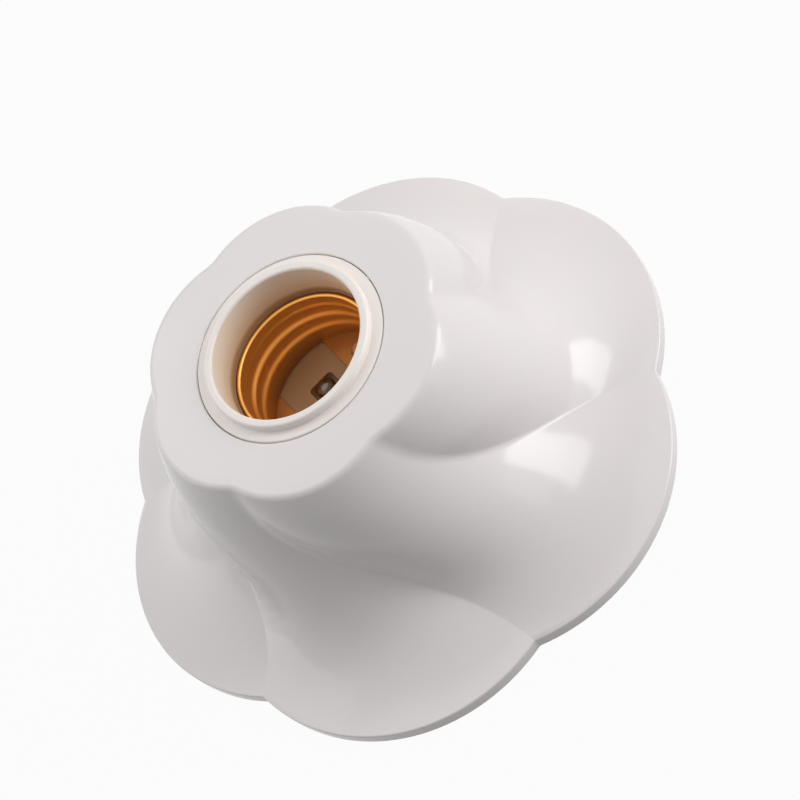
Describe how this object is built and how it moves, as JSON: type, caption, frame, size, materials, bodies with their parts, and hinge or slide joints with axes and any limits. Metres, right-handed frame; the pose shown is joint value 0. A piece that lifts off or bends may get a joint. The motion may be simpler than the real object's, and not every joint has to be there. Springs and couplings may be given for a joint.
{
  "type": "lamp holder",
  "caption": "Wall or ceiling lamp holder with a swirled petal cover that twists off a slotted back plate, and a brass screw socket with a sprung centre contact.",
  "frame": {"origin": "on the socket's axis in the plane of the back face that lies on the wall or ceiling", "axes": "+Z along the socket's axis, the way the lamp leaves; X through the two wall screw slots and the terminals"},
  "size_m": [0.1152, 0.1118, 0.0431],
  "materials": {
    "cover_plastic": "gloss",
    "plate_plastic": "satin",
    "core_plastic": "satin",
    "shell_brass": "polished",
    "contact_bronze": "satin",
    "button_metal": "polished",
    "terminal_brass": "satin",
    "rivet_metal": "satin",
    "screw_steel": "satin"
  },
  "bodies": {
    "plate": {"mounting_plate": "plate_plastic"},
    "front": {"flower_cover": "cover_plastic", "socket_core": "core_plastic", "screw_shell": "shell_brass", "contact_leaf": "contact_bronze", "live_terminal": "terminal_brass", "neutral_terminal": "terminal_brass", "contact_rivet": "rivet_metal", "shell_rivet_1": "rivet_metal", "shell_rivet_2": "rivet_metal", "live_terminal_screw": "screw_steel", "live_clamp_washer": "screw_steel", "neutral_terminal_screw": "screw_steel", "neutral_clamp_washer": "screw_steel", "core_screw_1": "screw_steel", "core_screw_2": "screw_steel"},
    "contact_tip": {"contact_button": "button_metal"}
  },
  "joints": [
    {"name": "twist_lock", "type": "hinge", "parent": "plate", "child": "front", "pos_m": [0, 0, 0], "axis": [0, 0, 1], "range_deg": [0, 25]},
    {"name": "centre_contact_press", "type": "slide", "parent": "front", "child": "contact_tip", "axis": [0, 0, -1], "range_m": [0, 0.0015], "stiffness_N_per_m": 1500, "deforming": ["contact_leaf"]}
  ]
}
